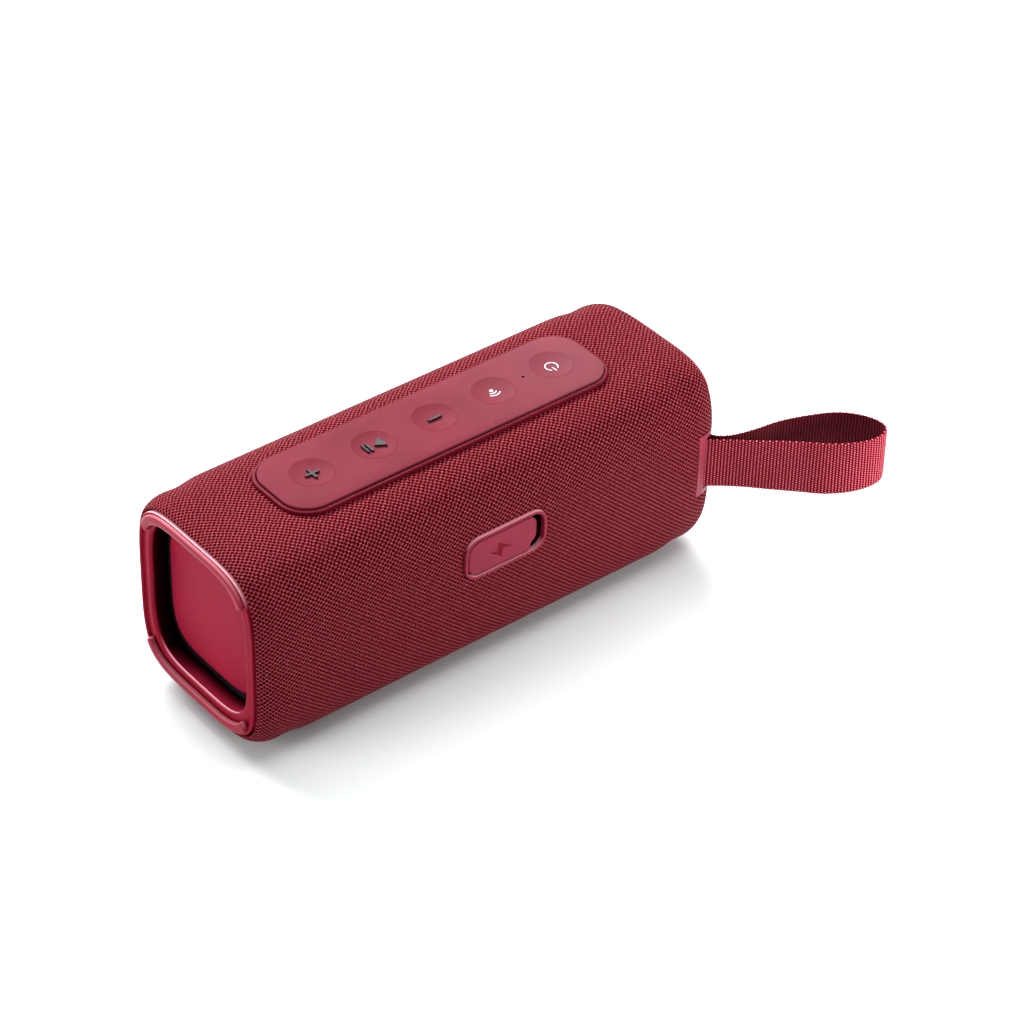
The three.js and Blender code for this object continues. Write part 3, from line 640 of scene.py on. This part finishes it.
def mark_bar(path, widths, rise):
    """A bar along a path of (x, y) on the dish: its cross-section is a low rounded box, and both ends are closed."""
    path, widths = np.asarray(path, float), np.asarray(widths, float)
    tangent = np.gradient(path, axis=0)
    tangent /= np.linalg.norm(tangent, axis=1)[:, None]
    normal = np.stack([-tangent[:, 1], tangent[:, 0]], -1)
    across = np.array([-1, -1, -0.82, -0.4, 0, 0.4, 0.82, 1, 1, 0.4, 0, -0.4])
    top = np.array([-0.3, rise - 0.06, rise, rise, rise, rise, rise, rise - 0.06, -0.3, -0.3, -0.3, -0.3])
    flat = path[:, None] + normal[:, None] * (across[None] * widths[:, None] / 2)[..., None]
    points = np.dstack([flat, dish(np.hypot(flat[..., 0], flat[..., 1])) + top])
    total, ring = len(path) * len(across), len(across)
    faces = grid_faces(len(path), ring, wrap_columns=True)[:, ::-1].tolist()
    return points.reshape(-1, 3), faces + [list(range(ring)), list(range(total - 1, total - ring - 1, -1))]


def straight(start, end, width, steps=9):
    """A straight path and its widths."""
    t = np.linspace(0, 1, steps)[:, None]
    return np.asarray(start) * (1 - t) + np.asarray(end) * t, np.full(steps, width)


def arc(radius, start, end, width, centre=(0, 0), steps=33):
    """A round path from one angle to another, in degrees, and its widths."""
    angle = np.radians(np.linspace(start, end, steps))
    path = np.stack([centre[0] + radius * np.cos(angle), centre[1] + radius * np.sin(angle)], -1)
    return path, np.full(steps, width)


wedge = straight((0.1, 0), (3.5, 0), 1.0, 15)[0], np.linspace(0.25, 5.2, 15)
dash = straight((-2.6, 0), (2.6, 0), 0.95)
MOULDED_RISE, PRINTED_RISE = 0.75, 0.05
MARKS = {
    "volume_up": (mark_black, MOULDED_RISE, [dash, straight((0, -2.6), (0, 2.6), 0.95)]),
    "play_pause": (mark_black, MOULDED_RISE, [
        straight((-3.5, -2.2), (-3.5, 2.2), 0.85), straight((-1.9, -2.2), (-1.9, 2.2), 0.85), wedge,
    ]),
    "volume_down": (mark_black, MOULDED_RISE, [dash]),
    "wireless": (mark_white, PRINTED_RISE, [
        arc(0.35, 0, 360, 0.7, (0, 1.3)), arc(1.6, 215, 325, 0.42, (0, 1.3)), arc(2.9, 225, 315, 0.42, (0, 1.3)),
    ]),
    "power": (mark_white, PRINTED_RISE, [arc(2.2, -55, 235, 0.4), straight((0, -2.8), (0, -0.4), 0.4)]),
}
# A key's profile: the dish from its middle out, then the rounded edge, the skirt and the stem that works the switch.
dish_radius = [0, 0.6, 1.3, 2.1, 2.9, 3.7, 4.5, 5.2, 5.8, 6.3, 6.7, 7.0, 7.15]
cap_radius = np.array(dish_radius + [7.25, 7.33, 7.35, 7.35, 5.2, 5.2, 0])
cap_height = np.concatenate([dish(np.array(dish_radius)), [1.6, 1.59, 1.54, -0.7, -0.7, -4, -4]])
spin = np.linspace(0, 2 * np.pi, 64, endpoint=False)[:, None]
for i, key in enumerate(KEY_NAMES):
    key_x = KEY_FIRST_X + i * KEY_PITCH
    cap_x, cap_y = key_x + cap_radius * np.cos(spin), KEY_Y + cap_radius * np.sin(spin)
    points = np.stack([cap_x, cap_y, np.broadcast_to(TOP_Z + cap_height, cap_x.shape)], -1)
    cap = build(f"key_{key}_cap", points, grid_faces(*cap_x.shape, wrap_rows=True), mat_red)
    weld = cap.modifiers.new("poles", "WELD")
    weld.merge_threshold = 0.01 * MM
    finish_piece(cap, f"button_{key}", "red_silicone", f"button_{key}")
    material, rise, bars = MARKS[key]
    mark_points, mark_faces = [], []
    for path, widths in bars:
        bar_points, bar_faces = mark_bar(path, widths, rise)
        start = sum(map(len, mark_points))
        mark_points.append(bar_points + [key_x, KEY_Y, TOP_Z])
        mark_faces += [[start + corner for corner in face] for face in bar_faces]
    mark = build(f"key_{key}_mark", np.concatenate(mark_points), mark_faces, material, smooth=False)
    finish_piece(mark, f"button_{key}", "black_rubber" if material == mark_black else "lamp")


# ---------------------------------------------------------------------------
# Port cover. A rounded red bezel stands on the cloth round the charging port, and a
# rubber flap fills it, with a sunk charge mark and a sunk tab for a finger at its end.
# ---------------------------------------------------------------------------
# The bezel's upward faces get a painted highlight.
bezel_red = moulded("bezel_red", (0.25, 0.014, 0.034), 0.28, 0.012, 0.12, 0.55)
flap_red = moulded("flap_red", (0.246, 0.022, 0.045), 0.45, 0.012, 0.08)
flap_shader = shader_in(flap_red)
sunk = add_node(flap_shader, "Attribute", {"attribute_name": "sunk"}).outputs["Fac"]
mix_over(flap_shader, sunk, (0.17, 0.001, 0.014, 1))


def lay_on_port_side(u, v, height):
    """Places on the body's port side, about the port's middle."""
    return np.stack([u + PORT_X, -(SIDE_Y + height), v + PORT_Z], -1)


bezel = rim_band(
    "port_bezel_rim", PORT_LONG, PORT_HIGH, PORT_CORNER,
    [(0, -1.2), (0, 0.68), (1.15, 0.68), (1.15, -1.2)], [0.1, 0.3, 0.15, 0.1], bezel_red, lay_on_port_side,
)
bezel.data.flip_normals()
finish_piece(bezel, "cabinet", "red_plastic", "port_bezel")

FLAP_LOW_X, FLAP_HIGH_X, FLAP_LOW_Z, FLAP_HIGH_Z, FLAP_CORNER = -13.1, 15.4, 40.8, 53.8, 4.3
FLAP_FRONT, FLAP_BACK, FLAP_ROUND = -36.0, -34.4, 0.45
TAB_X, TAB_SUNK, TAB_DROP, BOLT_SUNK = 12.6, 0.42, 1.7, 0.3
BOLT = np.array([(-5.3, 47.4), (-1.4, 46.75), (-1.2, 50.1), (4.7, 46.25), (0.6, 46.85), (0.2, 43.5)])


def polygon_distance(u, v, corners):
    """Distance from the edge of a polygon, less than 0 inside it."""
    nearest = np.full(np.shape(u), 1e9)
    inside = np.zeros(np.shape(u), bool)
    for (au, av), (bu, bv) in zip(corners, np.roll(corners, -1, 0)):
        along = np.clip(((u - au) * (bu - au) + (v - av) * (bv - av)) / ((bu - au) ** 2 + (bv - av) ** 2), 0, 1)
        nearest = np.minimum(nearest, np.hypot(u - au - along * (bu - au), v - av - along * (bv - av)))
        inside ^= ((av > v) != (bv > v)) & (u < (bu - au) * (v - av) / (bv - av + 1e-12) + au)
    return np.where(inside, -nearest, nearest)


def step_down(distance, width):
    """A smooth step from 0 to 1 where the distance goes from negative to positive."""
    return 1 / (1 + np.exp(-np.clip(distance / width, -30, 30)))


flap_length, flap_height = FLAP_HIGH_X - FLAP_LOW_X, FLAP_HIGH_Z - FLAP_LOW_Z
flap_rows, flap_columns = 181, 91
cell_u, cell_v = np.linspace(-1, 1, flap_rows), np.linspace(-1, 1, flap_columns)
flap_v = flap_height / 2 * np.broadcast_to(cell_v[None], (flap_rows, flap_columns))
corner_drop = np.maximum(np.abs(flap_v) - flap_height / 2 + FLAP_CORNER, 0)
half_long = flap_length / 2 - FLAP_CORNER + np.sqrt(np.maximum(FLAP_CORNER**2 - corner_drop**2, 0.0))
flap_u = cell_u[:, None] * half_long
flap_x, flap_z = flap_u + (FLAP_LOW_X + FLAP_HIGH_X) / 2, flap_v + (FLAP_LOW_Z + FLAP_HIGH_Z) / 2
edge = -rounded_distance(flap_u, flap_v, flap_length, flap_height, FLAP_CORNER)
round_over = FLAP_ROUND * (1 - np.sqrt(1 - np.clip(1 - edge / FLAP_ROUND, 0, 1) ** 2))
bolt = step_down(-polygon_distance(flap_x, flap_z, BOLT), 0.05)
flap_y = FLAP_FRONT + round_over + TAB_SUNK * step_down(flap_x - TAB_X, 0.09) + BOLT_SUNK * bolt
flap_z = flap_z + TAB_DROP * step_down(flap_x - TAB_X, 0.12) * (FLAP_HIGH_Z - flap_z) / flap_height
front = np.stack([flap_x, flap_y, flap_z], -1)
rear = np.stack([flap_x, np.full_like(flap_x, FLAP_BACK), flap_z], -1)
# The front and rear grids are joined by one band of faces along their rims, walked row, column, row, column.
number = np.arange(flap_rows * flap_columns).reshape(flap_rows, flap_columns)
rim = np.concatenate([number[:-1, 0], number[-1, :-1], number[:0:-1, -1], number[0, :0:-1]])
front_faces = grid_faces(flap_rows, flap_columns)
side_faces = np.stack([rim, np.roll(rim, -1), np.roll(rim, -1) + number.size, rim + number.size], -1)
flap = build(
    "port_flap_rubber", np.concatenate([front.reshape(-1, 3), rear.reshape(-1, 3)]),
    np.concatenate([front_faces[:, ::-1], front_faces + number.size, side_faces[:, ::-1]]), flap_red,
)
flap_mark = flap.data.attributes.new("sunk", "FLOAT", "POINT")
flap_mark.data.foreach_set("value", np.concatenate([bolt.ravel(), np.zeros(bolt.size)]))
finish_piece(flap, "flap", "red_silicone", "port_flap")


# ---------------------------------------------------------------------------
# Carry loop. A band of ribbed webbing goes round a steel pin in a moulded block at the
# rear corner, and its two ends are sewn together inside the block.
# ---------------------------------------------------------------------------
PIN_X, PIN_Y, LOOP_Z = 91.6, -32.0, 39.3
WEBBING_WIDE, WEBBING_THICK, RIB_PITCH, YARN_PITCH = 20.0, 1.2, 1.12, 0.9
RIB_ACROSS, RIB_THROUGH = 0.16, 0.1
LOOP_ROUTE = np.array([
    (-1.24, -1.24), (6, -7.2), (12.4, -13), (23.7, -23.4), (31, -30.4), (40.3, -35.4), (48.9, -36.3), (53.4, -33.3),
    (53.6, -28.4), (50.9, -22.4), (45.2, -16.4), (34.4, -11.6), (26.4, -9.0), (17, -7.5), (12, -6.4), (8, -5.1),
    (4.4, -2.9), (0.85, 1.53), (-0.45, 1.69), (-1.45, 0.98), (-1.75, -0.1),
])


def closed_curve(points, steps):
    """A closed centripetal Catmull-Rom curve through the points, in even steps of its own length. Gives the points,
    the length up to each, and the whole length."""
    parts = []
    for i in range(len(points)):
        p0, p1, p2, p3 = (points[(i + k) % len(points)] for k in (-1, 0, 1, 2))
        t1 = np.linalg.norm(p1 - p0) ** 0.5
        t2 = t1 + np.linalg.norm(p2 - p1) ** 0.5
        t3 = t2 + np.linalg.norm(p3 - p2) ** 0.5
        t = np.linspace(t1, t2, 60, endpoint=False)[:, None]
        a1 = (t1 - t) / t1 * p0 + t / t1 * p1
        a2 = (t2 - t) / (t2 - t1) * p1 + (t - t1) / (t2 - t1) * p2
        a3 = (t3 - t) / (t3 - t2) * p2 + (t - t2) / (t3 - t2) * p3
        b1 = (t2 - t) / t2 * a1 + t / t2 * a2
        b2 = (t3 - t) / (t3 - t1) * a2 + (t - t1) / (t3 - t1) * a3
        parts.append((t2 - t) / (t2 - t1) * b1 + (t - t1) / (t2 - t1) * b2)
    line = np.concatenate(parts + [points[:1]])
    length = np.concatenate([[0], np.cumsum(np.linalg.norm(np.diff(line, axis=0), axis=1))])
    at = np.linspace(0, length[-1], steps, endpoint=False)
    return np.stack([np.interp(at, length, line[:, k]) for k in (0, 1)], -1), at, length[-1]


webbing_red, webbing_shader = shader_of("webbing_red", (0.35, 0.03, 0.05), 0.55, Specular_IOR_Level=0.03)
strip_place = add_node(webbing_shader, "UVMap", {"uv_map": "surface"}).outputs["UV"]
strip = add_node(webbing_shader, "SeparateXYZ", Vector=strip_place)
picks = wave_of(webbing_shader, strip.outputs["X"], RIB_PITCH)
ends = wave_of(webbing_shader, strip.outputs["Y"], YARN_PITCH)
halves = wave_of(webbing_shader, strip.outputs["X"], 2 * RIB_PITCH)
crossing = math_of(webbing_shader, "MULTIPLY", ends, halves)
ribbed = math_of(webbing_shader, "MULTIPLY_ADD", picks, 0.24, 0.17)
yarns = math_of(webbing_shader, "MULTIPLY_ADD", crossing, 0.24, ribbed)
filaments = noise_of(webbing_shader, strip_place, 3.0, 3)
web_height = math_of(webbing_shader, "MULTIPLY_ADD", filaments, 0.66, yarns)
outer_tone = ramp_of(
    webbing_shader, web_height,
    (0.1, 0.03, 0.0, 0.001), (0.4, 0.18, 0.002, 0.01), (0.65, 0.45, 0.033, 0.064), (0.95, 0.86, 0.25, 0.29),
)
# The inner face is painted darker than the outer: painted shade, as the loop's outer run keeps the lamps off it.
inner_painted_shade = ramp_of(
    webbing_shader, web_height, (0.1, 0.012, 0.0, 0.0), (0.45, 0.08, 0.002, 0.007), (0.9, 0.26, 0.034, 0.054)
)
which_face = add_node(webbing_shader, "Attribute", {"attribute_name": "inner_face"}).outputs["Fac"]
web_tone = add_node(webbing_shader, "Mix", {"data_type": "RGBA"}, _0=which_face, _6=outer_tone, _7=inner_painted_shade)
link_to(webbing_shader, "Base Color", web_tone.outputs[2])
bump_of(webbing_shader, web_height, 0.2 * MM, 0.9)

centre, at, loop_length = closed_curve(LOOP_ROUTE, 900)
ribs = round(loop_length / RIB_PITCH)
rib_wave = np.cos(2 * np.pi * ribs * at / loop_length)[:, None]
tangent = np.roll(centre, -1, 0) - np.roll(centre, 1, 0)
tangent /= np.linalg.norm(tangent, axis=1)[:, None]
outward = np.stack([tangent[:, 1], -tangent[:, 0]], -1)
# The band's section is a squared ellipse whose width and thickness swell at each rib.
ring_turn = np.linspace(0, 2 * np.pi, 20, endpoint=False)
across = (WEBBING_WIDE / 2 - RIB_ACROSS + RIB_ACROSS * rib_wave) * signed_power(np.cos(ring_turn), 0.25)
through = (WEBBING_THICK / 2 - RIB_THROUGH + RIB_THROUGH * rib_wave) * signed_power(np.sin(ring_turn), 0.45)
# The outer run leans by up to 2.2 mm over its width, most at 28 mm from the pin, and is smoothed into the rest.
lean = 2.2 * np.exp(-(((centre[:, 0] - 28) / 16) ** 2)) * (centre[:, 1] < -14)
window = np.hanning(121) / np.hanning(121).sum()
lean = np.convolve(np.concatenate([lean[-60:], lean, lean[:60]]), window, "same")[60:-60]
shift = through - lean[:, None] * across / WEBBING_WIDE
points = np.stack([
    PIN_X + centre[:, :1] + outward[:, :1] * shift, PIN_Y + centre[:, 1:] + outward[:, 1:] * shift, LOOP_Z + across,
], -1)
web_uv = np.stack(np.broadcast_arrays(at[:, None] * ribs * RIB_PITCH / loop_length, across), -1)
webbing = build("strap_webbing_band", points, grid_faces(*across.shape, True, True), webbing_red, uv=web_uv)
inner_face = webbing.data.attributes.new("inner_face", "FLOAT", "POINT")
inner_face.data.foreach_set("value", np.where(through < -0.2, 1.0, 0.0).ravel())
finish_piece(webbing, "carry_loop", "webbing", "strap_webbing")


# ---------------------------------------------------------------------------
# Foot. A soft black strip with a rounded lower edge is glued under the body and keeps
# it from sliding on the table.
# ---------------------------------------------------------------------------
foot_black = moulded("foot_black", (0.014, 0.013, 0.014), 0.7, 0.03)
FOOT_LONG, FOOT_WIDE, FOOT_CORNER = 112, 20, 8
foot_path, foot_out = rounded_outline(FOOT_LONG, FOOT_WIDE, FOOT_CORNER)
foot_in, foot_rise = np.array([0.35, 0.12, 0.0, 0.0]), np.array([0.0, 0.05, 0.2, 0.7])
foot_flat = foot_path[:, None] - foot_out[:, None] * foot_in[None, :, None]
foot_points = np.dstack([foot_flat, np.broadcast_to(foot_rise, foot_flat.shape[:2])])
levels, total = foot_in.size, foot_flat.shape[0] * foot_in.size
bottom, top = list(range(0, total, levels)), list(range(total - 1, 0, -levels))
foot_faces = grid_faces(*foot_flat.shape[:2], wrap_rows=True).tolist() + [bottom, top]
foot = build("foot_pad_rubber", foot_points, foot_faces, foot_black)
finish_piece(foot, "cabinet", "black_rubber", "foot_pad")


# ---------------------------------------------------------------------------
# Parts that keep their own solid: the strap block and pin, the well and socket behind
# the flap, and everything inside the shells. Each takes the finish of the real material.
# ---------------------------------------------------------------------------
def metal(name, base, roughness):
    """Plated steel with fine scratches that run one way."""
    material, shader = shader_of(name, base, roughness, Metallic=1.0)
    stretched = add_node(shader, "Mapping", Vector=place_of(shader), Scale=(300, 3000, 3000))
    scratches = noise_of(shader, stretched.outputs[0], 1.0, 3)
    link_to(shader, "Roughness", math_of(shader, "MULTIPLY_ADD", scratches, 0.25, roughness - 0.12))
    link_to(shader, "Base Color", ramp_of(shader, scratches, (0.2, *(c * 0.85 for c in base)), (0.8, *base)))
    return material


def softened(name, node, material, width):
    """A copy of the node's own solid, merged, its flat faces joined and its edges rounded to this width in
    millimetres."""
    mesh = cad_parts[node].data.copy()
    mesh.materials.clear()
    mesh.materials.append(material)
    made = bpy.data.objects.new(name, mesh)
    scene.collection.objects.link(made)
    made.modifiers.new("merged", "WELD").merge_threshold = 0.01 * MM
    joined = made.modifiers.new("flats", "DECIMATE")
    joined.decimate_type, joined.angle_limit = "DISSOLVE", math.radians(2)
    soft = made.modifiers.new("edges", "BEVEL")
    soft.width, soft.segments, soft.limit_method, soft.angle_limit = width * MM, 3, "ANGLE", math.radians(35)
    return made


# The block's upward faces get a painted highlight.
block_red = moulded("block_red", (0.28, 0.03, 0.055), 0.35, 0.012, 0.12, 0.3)
well_dark = moulded("well_dark", (0.012, 0.0005, 0.0015), 0.7, 0.02, 0.0)
shell_black = moulded("shell_black", (0.006, 0.002, 0.003), 0.55, 0.05, 0.05)
cone_grey = moulded("cone_grey", (0.03, 0.03, 0.033), 0.8, 0.08)
board_green = moulded("board_green", (0.01, 0.07, 0.025), 0.4, 0.01)
cell_blue = moulded("cell_blue", (0.03, 0.1, 0.3), 0.35, 0.01)
lamp_white = moulded("lamp_white", (0.7, 0.68, 0.66), 0.3, 0.005)
steel = metal("plated_steel", (0.6, 0.6, 0.62), 0.3)
BY_START = {
    "strap_housing": block_red, "strap_pin": steel, "shell_screw": steel, "shell_": shell_black,
    "port_well": well_dark,
    "usb_socket": steel, "port_board": board_green, "main_board": board_green, "key_board": board_green,
    "tact_switch": steel, "driver_basket": steel, "driver_magnet": steel, "driver_surround": roll_black,
    "driver_cone": cone_grey, "radiator_frame": shell_black, "battery_tray": shell_black, "battery_cell": cell_blue,
    "status_light": lamp_white, "end_ring": ring_red, "bumper_rib": rib_red, "radiator_plate": plate_red,
    "radiator_surround": roll_black, "panel_trim": rim_red, "keypad_mat": mat_red, "button_": mat_red,
    "port_bezel": bezel_red, "port_flap": flap_red, "fabric_sleeve": woven, "strap_webbing": webbing_red,
    "foot_pad": foot_black,
}
block = softened("strap_housing_moulding", "strap_housing", block_red, 0.5)
finish_piece(block, "cabinet", "red_plastic", "strap_housing")
for name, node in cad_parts.items():
    finish = next(material for start, material in BY_START.items() if name.startswith(start))
    if not node.material_slots:
        node.data.materials.append(finish)
    for slot in node.material_slots:
        slot.material = finish
